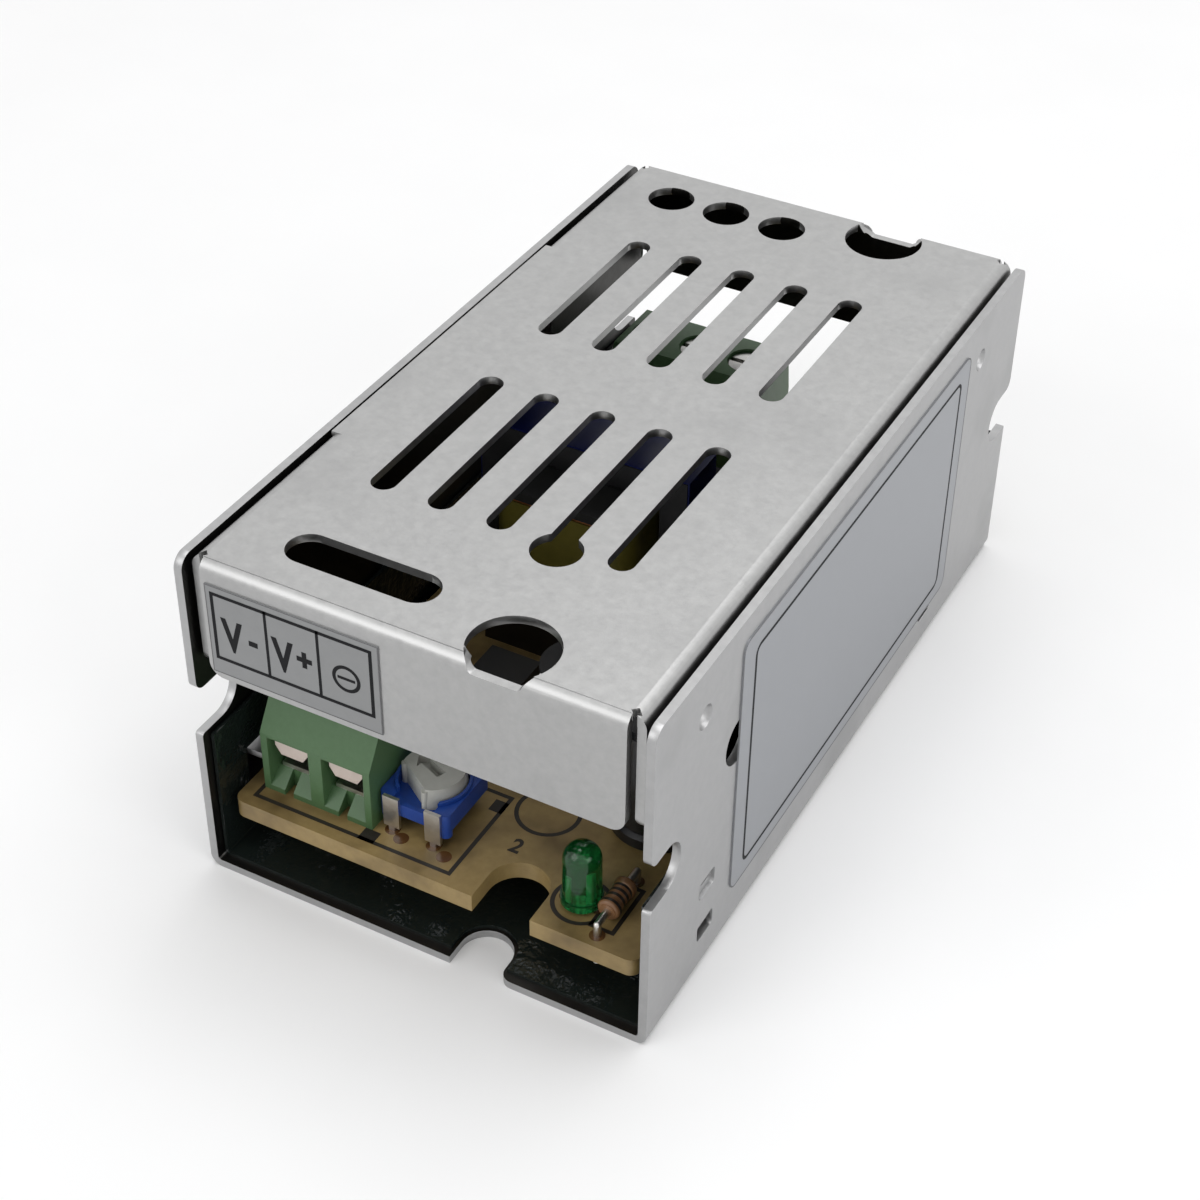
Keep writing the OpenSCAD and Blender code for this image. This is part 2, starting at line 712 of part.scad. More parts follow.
// The fixed contact: a folded strip with the nut at its top and the solder pin below.
module contact_frame() {
    difference() {
        along_x(-frame_width / 2, frame_width / 2) polygon([
            [ramp_length, ramp_back], [frame_back, ramp_back], [frame_back, nut_top],
            [frame_front, nut_top], [frame_front, nut_under], [frame_back - frame_thickness, nut_under],
            [frame_back - frame_thickness, ramp_back + frame_thickness],
            [ramp_length, ramp_back + frame_thickness]
        ]);
        translate([0, screw_y, nut_under - cut])
            cylinder(r = screw_r + screw_clearance, h = nut_thickness + 2 * cut);
    }
    translate([0, pin_y, -board_thickness - lead_tail])
        cylinder(r = pin_r, h = board_thickness + lead_tail + ramp_back + frame_thickness / 2, $fn = 24);
}

// The leaf that the screw presses onto the wire, with its front end bent down.
module clamp_leaf() {
    along_x(-leaf_width / 2, leaf_width / 2) polygon([
        [leaf_front, leaf_top - leaf_thickness], [leaf_back, leaf_top - leaf_thickness],
        [leaf_back, leaf_top], [leaf_front, leaf_top]
    ]);
    along_y(leaf_front, leaf_front + leaf_thickness) polygon([
        [-leaf_width / 2, leaf_top], [leaf_width / 2, leaf_top],
        [leaf_width / 2, leaf_top - leaf_drop / 2], [leaf_tip_width / 2, leaf_top - leaf_drop],
        [-leaf_tip_width / 2, leaf_top - leaf_drop], [-leaf_width / 2, leaf_top - leaf_drop / 2]
    ]);
}

module clamp_screw() difference() {
    union() {
        translate([0, screw_y, leaf_top]) cylinder(r = screw_r, h = head_top - leaf_top - head_height / 2);
        translate([0, screw_y, head_top - head_height]) cylinder(r = screw_head_r, h = head_height);
    }
    translate([-screw_head_r - cut, screw_y - 0.3, head_top - 0.6]) cube([2 * (screw_head_r + cut), 0.6, 1]);
    translate([-0.3, screw_y - 1.2, head_top - 0.6]) cube([0.6, 2.4, 1]);
}

module at_output(i) translate([output_x + i * pitch, output_face, board_top]) children();

module at_input(i) translate([output_x + i * pitch, input_face, board_top]) mirror([0, 1, 0]) children();

module output_block() color("#4d7348") at_output(0) block_body(output_ways, output_slope);
module output_frames() color("silver") for (i = [0 : output_ways - 1]) at_output(i) contact_frame();
module output_leaf(i) color("#cfc0b4") at_output(i) clamp_leaf();
module output_screw(i) color("silver") at_output(i) clamp_screw();
module input_block() color("#4d7348") at_input(0) block_body(input_ways, input_slope);
module input_frames() color("silver") for (i = [0 : input_ways - 1]) at_input(i) contact_frame();
module input_leaf(i) color("#cfc0b4") at_input(i) clamp_leaf();
module input_screw(i) color("silver") at_input(i) clamp_screw();

// ---- Trimmer ----

// The base has a rim round the dial; its front edge is lower in the middle, and it stands on feet.
module trimmer_base() color("#1d4fb5") translate([trimmer_x, trimmer_y, 0]) difference() {
    union() {
        upwards(trimmer_z, trimmer_z + trimmer_height)
            rounded(-trimmer_size / 2, -trimmer_size / 2, trimmer_size / 2, trimmer_size / 2, trimmer_corner);
        upwards(trimmer_z + trimmer_height, trimmer_z + trimmer_height + trimmer_rim) intersection() {
            circle(dial_r + dial_clearance + trimmer_rim_width);
            translate([-trimmer_size / 2, -trimmer_size / 2]) square(trimmer_size);
        }
        for (x = [-1, 1]) translate([x * (trimmer_size / 2 - trimmer_foot_r),
                                     -trimmer_size / 2 + trimmer_foot_r, trimmer_z - trimmer_foot])
            cylinder(r = trimmer_foot_r, h = trimmer_foot + cut);
    }
    translate([0, 0, dial_seat]) cylinder(r = dial_r + dial_clearance, h = trimmer_height);
    translate([-trimmer_dip / 2, -trimmer_size / 2 - cut, trimmer_z + trimmer_height - trimmer_dip_depth])
        cube([trimmer_dip, trimmer_size / 2, trimmer_height]);
}

module trimmer_lug(length) {
    translate([-lug_width / 2, 0, board_top + 0.4]) cube([lug_width, lug_thickness, length]);
    translate([0, lug_thickness / 2, board_z - lead_tail])
        intersection() {
            cylinder(r = lug_pin_width / 2, h = board_thickness + lead_tail + 0.6, $fn = 24);
            translate([-lug_pin_width, -lug_thickness / 2, 0])
                cube([2 * lug_pin_width, lug_thickness, case_height]);
        }
}

module trimmer_lugs() color("silver") translate([trimmer_x, trimmer_y, 0]) {
    for (x = [-1, 1]) translate([x * lug_pitch / 2, -trimmer_size / 2 - lug_thickness, 0])
        trimmer_lug(trimmer_z + trimmer_height - board_top - 0.3);
    translate([0, trimmer_size / 2, 0]) trimmer_lug(trimmer_z + trimmer_height - board_top - 0.8);
}

// The dial has one flat side with a small stop at each end, and an arrow-shaped recess for a screwdriver.
module trimmer_dial() color("#d9d9d4") translate([trimmer_x, trimmer_y, dial_seat]) difference() {
    union() {
        intersection() {
            cylinder(r1 = dial_r, r2 = dial_r - dial_draft, h = dial_height);
            rotate(dial_flat_turn) translate([-case_width, -case_width, 0])
                cube([2 * case_width, case_width + dial_flat, dial_height]);
        }
        for (s = [-1, 1]) rotate(dial_flat_turn) translate([s * dial_stop_x, dial_flat, 0])
            cylinder(r = dial_stop_r, h = dial_height - dial_draft, $fn = 24);
    }
    translate([0, 0, dial_height - dial_slot_depth]) rotate(dial_slot_turn)
        translate([-dial_slot / 2, 0, 0]) linear_extrude(2 * dial_slot_depth) {
            translate([0, -dial_slot_width / 2]) square([dial_slot, dial_slot_width]);
            polygon([[0, dial_arrow], [-dial_arrow, 0], [0, -dial_arrow]]);
        }
}

// ---- Indicator ----

module indicator_led() color("#1f7a3a") translate([led_x, led_y, board_top + led_standoff]) {
    cylinder(r = led_flange_r, h = led_flange);
    cylinder(r = led_r, h = led_height - led_r);
    intersection() {
        translate([0, 0, led_height - led_r]) sphere(led_r);
        cylinder(r = led_r, h = led_height);
    }
}

module straight_lead(p, top) translate([p[0], p[1], board_z - lead_tail])
    cylinder(r = p[2], h = top - board_z + lead_tail, $fn = 24);

module led_leads() color("silver") for (p = row_points(led_x, led_y, 2, led_lead_pitch, lead_r))
    straight_lead(p, board_top + led_standoff);

// ---- Parts with a lead at each end ----

module lying_body(x, y, r, length) translate([x, y + length / 2, board_top + axial_lift + r])
    rotate([90, 0, 0]) rotate_extrude() polygon([
        [0, 0], [0.8 * r, 0], [r, 0.12 * length], [r, 0.88 * length], [0.8 * r, length], [0, length]
    ]);

module lying_leads(x, y, r, length, span) {
    z = board_top + axial_lift + r;
    for (s = [-1, 1]) {
        translate([x, y + s * span / 2, z]) rotate([s * 90, 0, 0])
            cylinder(r = lead_r, h = span / 2 - length / 2, $fn = 24);
        translate([x, y + s * span / 2, z]) sphere(lead_r, $fn = 24);
        straight_lead([x, y + s * span / 2, lead_r], z);
    }
}

module led_resistor() color("#8a5a3c")
    lying_body(led_resistor_x, led_resistor_y, led_resistor_r, led_resistor_length);
module led_resistor_leads() color("silver") lying_leads(
    led_resistor_x, led_resistor_y, led_resistor_r, led_resistor_length, led_resistor_span);
module input_fuse() color("#3f6b4a") lying_body(fuse_x, fuse_y, fuse_r, fuse_length);
module rectifier_diodes() color("#1b1b1c") for (x = diode_xs) lying_body(x, diode_y, diode_r, diode_length);
module output_diode() color("#1b1b1c")
    lying_body(output_diode_x, output_diode_y, output_diode_r, output_diode_length);
module axial_leads() color("silver") {
    lying_leads(fuse_x, fuse_y, fuse_r, fuse_length, fuse_span);
    for (x = diode_xs) lying_leads(x, diode_y, diode_r, diode_length, diode_span);
    lying_leads(output_diode_x, output_diode_y, output_diode_r, output_diode_length, output_diode_span);
}

// ---- Transformer ----

// One E-shaped half of the core, legs up.
module core_half() along_y(-core_depth / 2, core_depth / 2) difference() {
    translate([-core_length / 2, 0]) square([core_length, half_height]);
    for (s = [-1, 1]) translate([s * (core_centre / 2 + window / 2) - window / 2, core_back])
        square([window, core_height]);
}

module at_core() translate([transformer_x, transformer_y, core_z]) children();

module transformer_core() color("#26272a") at_core() {
    core_half();
    translate([0, 0, core_height]) mirror([0, 0, 1]) core_half();
}

module transformer_bobbin() color("#1c1c1e") at_core() difference() {
    union() {
        for (z = [core_back + bobbin_fit, core_height - core_back - bobbin_fit - bobbin_flange])
            translate([-bobbin_half_x, -bobbin_half_y, z])
                cube([2 * bobbin_half_x, 2 * bobbin_half_y, bobbin_flange]);
        translate([-core_centre / 2 - bobbin_fit - bobbin_wall, -core_depth / 2 - bobbin_fit - bobbin_wall,
                   core_back + bobbin_fit])
            cube([core_centre + 2 * (bobbin_fit + bobbin_wall), core_depth + 2 * (bobbin_fit + bobbin_wall),
                  core_height - 2 * (core_back + bobbin_fit)]);
        // pin rails on both sides of the core
        both_ends() translate([-bobbin_half_x, -bobbin_half_y, board_top - core_z])
            cube([2 * bobbin_half_x, rail_depth, core_z - board_top + core_back + bobbin_fit + cut]);
    }
    translate([-core_centre / 2 - bobbin_fit, -core_depth / 2 - bobbin_fit, 0])
        cube([core_centre + 2 * bobbin_fit, core_depth + 2 * bobbin_fit, core_height]);
}

module winding_ring(half_x, half_y, hole_x, hole_y) difference() {
    rounded(-half_x, -half_y, half_x, half_y, winding_corner);
    translate([-hole_x, -hole_y]) square([2 * hole_x, 2 * hole_y]);
}

module transformer_winding() color("#a8642c") translate([transformer_x, transformer_y, 0])
    upwards(winding_low, winding_high) winding_ring(winding_half_x, winding_half_y,
        core_centre / 2 + bobbin_fit + bobbin_wall, core_depth / 2 + bobbin_fit + bobbin_wall);

module winding_tape() color("#b9a13a") translate([transformer_x, transformer_y, 0])
    upwards(winding_low + 0.6, winding_high - 0.6) difference() {
        rounded(-winding_half_x - tape_thickness, -winding_half_y - tape_thickness,
                winding_half_x + tape_thickness, winding_half_y + tape_thickness,
                winding_corner + tape_thickness);
        rounded(-winding_half_x, -winding_half_y, winding_half_x, winding_half_y, winding_corner);
    }

module core_tape() color("#10309a") at_core()
    along_y(-core_depth / 2 + 0.1, core_depth / 2 - 0.1) difference() {
        translate([-core_length / 2 - tape_thickness, -tape_thickness])
            square([core_length + 2 * tape_thickness, core_height + 2 * tape_thickness]);
        translate([-core_length / 2, 0]) square([core_length, core_height]);
    }

module transformer_pins() color("silver") for (s = [-1, 1])
    for (p = row_points(transformer_x, transformer_y + s * transformer_pin_y, transformer_pin_count,
                        transformer_pin_pitch, transformer_pin_r)) straight_lead(p, board_top);

// ---- Standing parts ----

// A sleeved aluminium can with the rolled groove near its foot.
module can(d, height) translate([0, 0, board_top]) rotate_extrude() {
    r = d / 2;
    polygon([
        [0, 0], [r - 0.3, 0], [r, 0.3], [r, 1.2], [r - 0.35, 1.5], [r - 0.35, 1.8], [r, 2.1],
        [r, height - 0.4], [r - 0.4, height], [r - 0.9, height], [r - 0.9, height - 0.2], [0, height - 0.2]
    ]);
}

module bulk_capacitor() color("#17181b") translate([bulk_x, bulk_y, 0]) can(bulk_d, bulk_height);

module output_capacitors() color("#17181b") for (y = output_cap_ys)
    translate([output_cap_x, y, 0]) can(output_cap_d, output_cap_height);

module capacitor_leads() color("silver") {
    for (p = row_points(bulk_x, bulk_y, 2, bulk_lead_pitch, lead_r)) straight_lead(p, board_top);
    for (y = output_cap_ys, p = row_points(output_cap_x, y, 2, small_lead_pitch, lead_r))
        straight_lead(p, board_top);
}

module safety_capacitor() color("#1f56b8") translate([disc_x, disc_y, board_top + disc_lift + disc_r])
    rotate([90, 0, 0]) translate([0, 0, -disc_thickness / 2]) rotate_extrude() polygon([
        [0, 0], [disc_r - 1, 0], [disc_r, 0.9], [disc_r, disc_thickness - 0.9],
        [disc_r - 1, disc_thickness], [0, disc_thickness]
    ]);

// The leads run up to where they meet the rim of the disc.
module safety_capacitor_leads() color("silver") difference() {
    for (p = row_points(disc_x, disc_y, 2, disc_pitch, lead_r))
        straight_lead(p, board_top + disc_lift + disc_r);
    translate([disc_x, disc_y, board_top + disc_lift + disc_r]) rotate([90, 0, 0])
        translate([0, 0, -disc_thickness]) cylinder(r = disc_r, h = 2 * disc_thickness);
}

module choke_core() color("#3a3b3d") translate([choke_x, choke_y, board_top]) {
    cylinder(r = choke_r, h = choke_flange);
    cylinder(r = choke_core_r, h = choke_height);
    translate([0, 0, choke_height - choke_flange]) cylinder(r = choke_r, h = choke_flange);
}

module choke_winding() color("#b4713a") translate([choke_x, choke_y, board_top + choke_flange]) difference() {
    cylinder(r = choke_r - 0.35, h = choke_height - 2 * choke_flange);
    translate([0, 0, -cut]) cylinder(r = choke_core_r, h = choke_height);
}

module choke_leads() color("silver")
    for (p = row_points(choke_x, choke_y, 2, choke_pitch, lead_r)) straight_lead(p, board_top);

// ---- Chips, surface-mounted on the board by bent legs ----

module chip(x, y, length, width, height) translate([x, y, board_top + chip_lift])
    along_x(-length / 2, length / 2) polygon([
        [-width / 2 + 0.3, 0], [width / 2 - 0.3, 0], [width / 2, height / 2 - 0.15],
        [width / 2, height / 2 + 0.15], [width / 2 - 0.3, height], [-width / 2 + 0.3, height],
        [-width / 2, height / 2 + 0.15], [-width / 2, height / 2 - 0.15]
    ]);

module chip_legs(x, y, count, width, height) {
    z = board_top + chip_lift + height / 2;
    for (i = [0 : count - 1], s = [-1, 1])
        translate([x + (i - (count - 1) / 2) * chip_pitch - leg_width / 2, y, 0])
        mirror([0, s > 0 ? 0 : 1, 0]) {
            translate([0, width / 2, z - leg_thickness / 2])
                cube([leg_width, chip_row / 2 - width / 2 + leg_thickness, leg_thickness]);
            translate([0, chip_row / 2, board_top])
                cube([leg_width, leg_thickness, z - board_top]);
            translate([0, chip_row / 2, board_top]) cube([leg_width, leg_foot, leg_thickness]);
        }
}

module controller_chip() color("#1a1a1b") chip(chip_x, chip_y, chip_length, chip_width, chip_height);
module controller_pins() color("silver") chip_legs(chip_x, chip_y, chip_legs_a_side, chip_width, chip_height);
module optocoupler() color("#1a1a1b") chip(opto_x, opto_y, opto_length, opto_width, opto_height);
module optocoupler_pins() color("silver") chip_legs(opto_x, opto_y, 2, opto_width, opto_height);

base_channel();
top_cover();
insulation_sheet();
circuit_board();
solder_joints();
rating_label();
terminal_label();
output_block();
output_frames();
output_leaf(0);  // output_leaf_1
output_leaf(1);  // output_leaf_2
output_screw(0);  // output_screw_1
output_screw(1);  // output_screw_2
input_block();
input_frames();
input_leaf(0);  // input_leaf_1
input_leaf(1);  // input_leaf_2
input_leaf(2);  // input_leaf_3
input_screw(0);  // input_screw_1
input_screw(1);  // input_screw_2
input_screw(2);  // input_screw_3
trimmer_base();
trimmer_lugs();
trimmer_dial();
indicator_led();
led_leads();
led_resistor();
led_resistor_leads();
transformer_core();
transformer_bobbin();
transformer_winding();
winding_tape();
core_tape();
transformer_pins();
bulk_capacitor();
output_capacitors();
capacitor_leads();
input_fuse();
rectifier_diodes();
output_diode();
axial_leads();
safety_capacitor();
safety_capacitor_leads();
choke_core();
choke_winding();
choke_leads();
controller_chip();
controller_pins();
optocoupler();
optocoupler_pins();
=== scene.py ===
import math

import bpy
from mathutils import Matrix, Vector


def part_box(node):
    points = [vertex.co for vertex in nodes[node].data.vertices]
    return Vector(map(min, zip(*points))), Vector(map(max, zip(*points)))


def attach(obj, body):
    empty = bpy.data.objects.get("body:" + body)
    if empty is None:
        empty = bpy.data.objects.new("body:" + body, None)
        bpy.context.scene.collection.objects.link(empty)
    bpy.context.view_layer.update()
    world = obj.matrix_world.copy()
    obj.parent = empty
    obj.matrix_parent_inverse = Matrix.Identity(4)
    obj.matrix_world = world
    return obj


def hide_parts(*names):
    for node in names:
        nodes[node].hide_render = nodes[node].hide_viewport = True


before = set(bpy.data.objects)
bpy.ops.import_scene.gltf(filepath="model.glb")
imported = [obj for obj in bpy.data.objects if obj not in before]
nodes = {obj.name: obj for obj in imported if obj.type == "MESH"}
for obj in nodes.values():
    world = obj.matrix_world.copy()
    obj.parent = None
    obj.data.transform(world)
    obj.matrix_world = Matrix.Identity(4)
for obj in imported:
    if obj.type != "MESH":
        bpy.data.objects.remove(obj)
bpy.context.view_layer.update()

# The stand: the supply rests on a pale sheet of paper under soft studio light, and the
# paper is bright enough to end in white all round it.
bpy.ops.object.select_all(action="DESELECT")
bpy.ops.mesh.primitive_plane_add(size=3.0)
floor = bpy.context.object
floor.name = "paper_floor"
paper = bpy.data.materials.new("white_paper")
paper.use_nodes = True
paper_nodes, paper_links = paper.node_tree.nodes, paper.node_tree.links
paper_shader = paper_nodes["Principled BSDF"]
paper_shader.inputs["Roughness"].default_value = 0.9
fibres = paper_nodes.new("ShaderNodeTexNoise")
fibres.inputs["Scale"].default_value = 60.0
tint = paper_nodes.new("ShaderNodeMixRGB")
tint.inputs["Color1"].default_value = (0.90, 0.90, 0.90, 1)
tint.inputs["Color2"].default_value = (0.93, 0.93, 0.93, 1)
coordinates = paper_nodes.new("ShaderNodeTexCoord")
paper_links.new(coordinates.outputs["Object"], fibres.inputs["Vector"])
paper_links.new(fibres.outputs["Fac"], tint.inputs["Fac"])
paper_links.new(tint.outputs["Color"], paper_shader.inputs["Base Color"])
floor.data.materials.append(paper)

world = bpy.data.worlds.new("studio")
bpy.context.scene.world = world
world.use_nodes = True
sky, links = world.node_tree.nodes, world.node_tree.links
room = sky["Background"]
white = sky.new("ShaderNodeBackground")
white.inputs["Color"].default_value = (1, 1, 1, 1)
either = sky.new("ShaderNodeMixShader")
path = sky.new("ShaderNodeLightPath")
seen = sky.new("ShaderNodeMath")
seen.operation = "MAXIMUM"
mirrored = sky.new("ShaderNodeMath")
mirrored.operation = "MAXIMUM"
links.new(path.outputs["Is Glossy Ray"], mirrored.inputs[0])
links.new(path.outputs["Is Transmission Ray"], mirrored.inputs[1])
links.new(path.outputs["Is Camera Ray"], seen.inputs[0])
links.new(mirrored.outputs["Value"], seen.inputs[1])
links.new(seen.outputs["Value"], either.inputs["Fac"])
links.new(room.outputs["Background"], either.inputs[1])
links.new(white.outputs["Background"], either.inputs[2])
links.new(either.outputs["Shader"], sky["World Output"].inputs["Surface"])
height = sky.new("ShaderNodeTexCoord")
parted = sky.new("ShaderNodeSeparateXYZ")
ramp = sky.new("ShaderNodeValToRGB")
links.new(height.outputs["Generated"], parted.inputs["Vector"])
links.new(parted.outputs["Z"], ramp.inputs["Fac"])
links.new(ramp.outputs["Color"], room.inputs["Color"])
ramp.color_ramp.elements[0].position = 0.0
ramp.color_ramp.elements[0].color = (0.55, 0.55, 0.56, 1)
ramp.color_ramp.elements[1].position = 1.0
ramp.color_ramp.elements[1].color = (0.75, 0.75, 0.75, 1)
room.inputs["Strength"].default_value = 0.75

for name, place, aim, width, length, power in (
    ("overhead_softbox", (0.05, 0.10, 0.60), (0, 0, 0.02), 0.6, 0.6, 2.2),
    ("front_softbox", (-0.25, -0.45, 0.35), (0, 0, 0.01), 0.35, 0.35, 0.7),
    ("right_softbox", (0.50, -0.15, 0.30), (0, 0, 0.01), 0.35, 0.35, 0.5),
):
    lamp = bpy.data.lights.new(name, "AREA")
    lamp.shape = "RECTANGLE"
    lamp.size, lamp.size_y = width, length
    lamp.energy = power
    light = bpy.data.objects.new(name, lamp)
    bpy.context.scene.collection.objects.link(light)
    light.location = place
    light.rotation_mode = "QUATERNION"
    light.rotation_quaternion = (Vector(aim) - Vector(place)).to_track_quat("-Z", "Y")

# The view: from the output end, 27 degrees round to the right and 37 degrees above, close
# enough for the long case to narrow towards its far end.
view_target = Vector((0, 0, 0.015))
view_distance = 0.18736
azimuth, elevation, roll = math.radians(26.977), math.radians(37.26), math.radians(1.473)
back = Vector((math.sin(azimuth) * math.cos(elevation),
               -math.cos(azimuth) * math.cos(elevation), math.sin(elevation)))
right = Vector((0, 0, 1)).cross(back).normalized()
up = back.cross(right)
across = math.cos(roll) * right + math.sin(roll) * up
upright = -math.sin(roll) * right + math.cos(roll) * up
lens = bpy.data.cameras.new("view")
lens.lens, lens.sensor_width = 67.30, 36.0
lens.shift_x, lens.shift_y = -0.0317, -0.0391
lens.clip_start, lens.clip_end = 0.005, 10.0
camera = bpy.data.objects.new("view", lens)
bpy.context.scene.collection.objects.link(camera)
camera.matrix_world = Matrix.Translation(view_target + view_distance * back) @ Matrix(
    (across, upright, back)).transposed().to_4x4()
bpy.context.scene.camera = camera
bpy.context.scene.view_settings.view_transform = "Standard"


# The base: one aluminium sheet bent into a channel, satin from the mill, with a fine
# mottled grain, its inner faces painted near black as painted shade, and edges that the punch has left
# slightly rounded.
def coated(name, light_tone, dark_tone, grain, roughness, metallic=0.0, bump=0.0, spread=0.06):
    """A surface whose tone, sheen and level vary finely from place to place."""
    made = bpy.data.materials.new(name)
    made.use_nodes = True
    n, k = made.node_tree.nodes, made.node_tree.links
    shader = n["Principled BSDF"]
    shader.inputs["Metallic"].default_value = metallic
    place = n.new("ShaderNodeTexCoord")
    noise = n.new("ShaderNodeTexNoise")
    noise.name = "grain"
    noise.inputs["Scale"].default_value = grain
    noise.inputs["Detail"].default_value = 6.0
    noise.inputs["Roughness"].default_value = 0.6
    k.new(place.outputs["Object"], noise.inputs["Vector"])
    tone = n.new("ShaderNodeMixRGB")
    tone.name = "tone"
    tone.inputs["Color1"].default_value = (*dark_tone, 1)
    tone.inputs["Color2"].default_value = (*light_tone, 1)
    k.new(noise.outputs["Fac"], tone.inputs["Fac"])
    k.new(tone.outputs["Color"], shader.inputs["Base Color"])
    sheen = n.new("ShaderNodeMapRange")
    sheen.inputs["To Min"].default_value = roughness - spread
    sheen.inputs["To Max"].default_value = roughness + spread
    k.new(noise.outputs["Fac"], sheen.inputs["Value"])
    k.new(sheen.outputs["Result"], shader.inputs["Roughness"])
    if bump:
        level = n.new("ShaderNodeBump")
        level.inputs["Strength"].default_value = bump
        level.inputs["Distance"].default_value = 0.0001
        k.new(noise.outputs["Fac"], level.inputs["Height"])
        k.new(level.outputs["Normal"], shader.inputs["Normal"])
    return made


def stained(material, stain, scale, low, high):
    """Adds broad, soft-edged patches of a second tone over a coated material."""
    n, k = material.node_tree.nodes, material.node_tree.links
    shader = n["Principled BSDF"]
    patches = n.new("ShaderNodeTexNoise")
    patches.inputs["Scale"].default_value = scale
    patches.inputs["Detail"].default_value = 3.0
    k.new(n["Texture Coordinate"].outputs["Object"], patches.inputs["Vector"])
    edge = n.new("ShaderNodeMapRange")
    edge.inputs["From Min"].default_value = low
    edge.inputs["From Max"].default_value = high
    k.new(patches.outputs["Fac"], edge.inputs["Value"])
    over = n.new("ShaderNodeMixRGB")
    over.inputs["Color2"].default_value = (*stain, 1)
    k.new(edge.outputs["Result"], over.inputs["Fac"])
    k.new(n["tone"].outputs["Color"], over.inputs["Color1"])
    k.new(over.outputs["Color"], shader.inputs["Base Color"])
    return over


def shade_inside(material, over, half, painted_shade_tone):
    """The faces of a folded sheet that look into the case are painted near black as painted shade; its cut
    edges keep the sheet's own tone.
    """
    n, k = material.node_tree.nodes, material.node_tree.links
    place = n["Texture Coordinate"]
    at = n.new("ShaderNodeVectorMath")
    at.operation = "SUBTRACT"
    at.inputs[1].default_value = (0, 0, half[2])
    k.new(place.outputs["Object"], at.inputs[0])
    outward = n.new("ShaderNodeVectorMath")
    outward.operation = "MULTIPLY"
    k.new(at.outputs["Vector"], outward.inputs[0])
    k.new(place.outputs["Normal"], outward.inputs[1])
    parts = n.new("ShaderNodeSeparateXYZ")
    k.new(outward.outputs["Vector"], parts.inputs["Vector"])
    inside = None
    for axis, reach in zip("XYZ", half):
        test = n.new("ShaderNodeMath")
        test.operation = "LESS_THAN"
        test.inputs[1].default_value = -0.8 * reach
        k.new(parts.outputs[axis], test.inputs[0])
        if inside is None:
            inside = test.outputs["Value"]
        else:
            either_way = n.new("ShaderNodeMath")
            either_way.operation = "MAXIMUM"
            k.new(inside, either_way.inputs[0])
            k.new(test.outputs["Value"], either_way.inputs[1])
            inside = either_way.outputs["Value"]
    shade_mix = n.new("ShaderNodeMixRGB")
    shade_mix.inputs["Color2"].default_value = (*painted_shade_tone, 1)
    k.new(inside, shade_mix.inputs["Fac"])
    k.new(over.outputs["Color"], shade_mix.inputs["Color1"])
    k.new(shade_mix.outputs["Color"], n["Principled BSDF"].inputs["Base Color"])


def finish_node(name, material):
    mesh = nodes[name].data
    mesh.materials.clear()
    mesh.materials.append(material)


def softened(node, name, width, material):
    """A copy of a folded sheet whose cut edges are slightly rounded, in place of the node."""
    bpy.ops.object.select_all(action="DESELECT")
    piece = nodes[node].copy()
    piece.data = nodes[node].data.copy()
    piece.name = name
    bpy.context.scene.collection.objects.link(piece)
    bpy.context.view_layer.objects.active = piece
    piece.select_set(True)
    bpy.ops.object.mode_set(mode="EDIT")
    bpy.ops.mesh.select_all(action="SELECT")
    bpy.ops.mesh.remove_doubles(threshold=0.000002)
    bpy.ops.mesh.dissolve_limited(angle_limit=math.radians(0.5))
    bpy.ops.object.mode_set(mode="OBJECT")
    edge = piece.modifiers.new("edge", "BEVEL")
    edge.width = width
    edge.segments = 2
    edge.limit_method = "ANGLE"
    edge.angle_limit = math.radians(50)
    edge.use_clamp_overlap = True
    bpy.ops.object.modifier_apply(modifier="edge")
    bpy.ops.object.shade_smooth_by_angle(angle=math.radians(50))
    level = piece.modifiers.new("level", "WEIGHTED_NORMAL")
    level.weight = 100
    level.keep_sharp = True
    bpy.ops.object.modifier_apply(modifier="level")
    piece.data.materials.clear()
    piece.data.materials.append(material)
    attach(piece, "case")
    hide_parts(node)
    return piece


base_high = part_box("base_channel")[1]
case_half = (base_high[0], base_high[1], base_high[2] / 2)
case_sheet = coated("case_sheet", (0.47, 0.47, 0.47), (0.35, 0.35, 0.354), 1300, 0.40, 1.0, 0.12, 0.08)
handled = stained(case_sheet, (0.31, 0.31, 0.31), 90, 0.55, 0.85)
# The inward-facing faces of the base are painted near black: painted shade inside the case.
shade_inside(case_sheet, handled, case_half, (0.050, 0.048, 0.045))
punched_edge = 0.00008
softened("base_channel", "folded_base", punched_edge, case_sheet)

# The insulating sheet: thin glossy black film, folded up inside the base and creased.
black_film = coated("black_film", (0.016, 0.022, 0.020), (0.005, 0.008, 0.007), 70, 0.13, spread=0.08)
film_nodes, film_links = black_film.node_tree.nodes, black_film.node_tree.links
crease = film_nodes.new("ShaderNodeBump")
crease.inputs["Strength"].default_value = 0.7
crease.inputs["Distance"].default_value = 0.0018
film_links.new(film_nodes["grain"].outputs["Fac"], crease.inputs["Height"])
film_links.new(crease.outputs["Normal"], film_nodes["Principled BSDF"].inputs["Normal"])
finish_node("insulation_sheet", black_film)

# The circuit board: tan phenolic laminate with darker resin patches, bright solder under
# it, and a dark legend printed round each part.
laminate = coated("board_laminate", (0.40, 0.285, 0.115), (0.25, 0.17, 0.062), 1500, 0.42, 0.0, 0.1)
stained(laminate, (0.13, 0.085, 0.03), 220, 0.45, 0.75)
finish_node("circuit_board", laminate)
solder = coated("solder", (0.75, 0.75, 0.76), (0.6, 0.6, 0.62), 2500, 0.25, 1.0, 0.2)
finish_node("solder_joints", solder)
ink = coated("legend_ink", (0.022, 0.017, 0.012), (0.012, 0.009, 0.006), 3000, 0.55)
PRINT_LIFT = 0.000005


